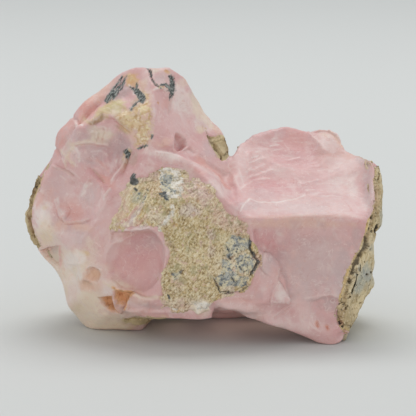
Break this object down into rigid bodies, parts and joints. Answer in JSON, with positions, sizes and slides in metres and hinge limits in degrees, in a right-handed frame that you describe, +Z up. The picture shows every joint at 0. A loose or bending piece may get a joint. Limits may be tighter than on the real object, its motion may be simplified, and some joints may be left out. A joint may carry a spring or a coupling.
{
  "type": "rough pink opal specimen",
  "caption": "Rough pink opal stone: an angular peak, a granular patch of host rock and a broken block side by side, resting on its own base.",
  "frame": {"origin": "middle of the bounding box in plan, on the surface that the stone lies on", "axes": "+Z up, +X along the long side from the peak to the block, the best face looks to -Y"},
  "size_m": [0.096, 0.049, 0.0717],
  "materials": {
    "opal": "waxy, broken surface"
  },
  "bodies": {
    "root": {"opal": "opal"}
  },
  "joints": []
}
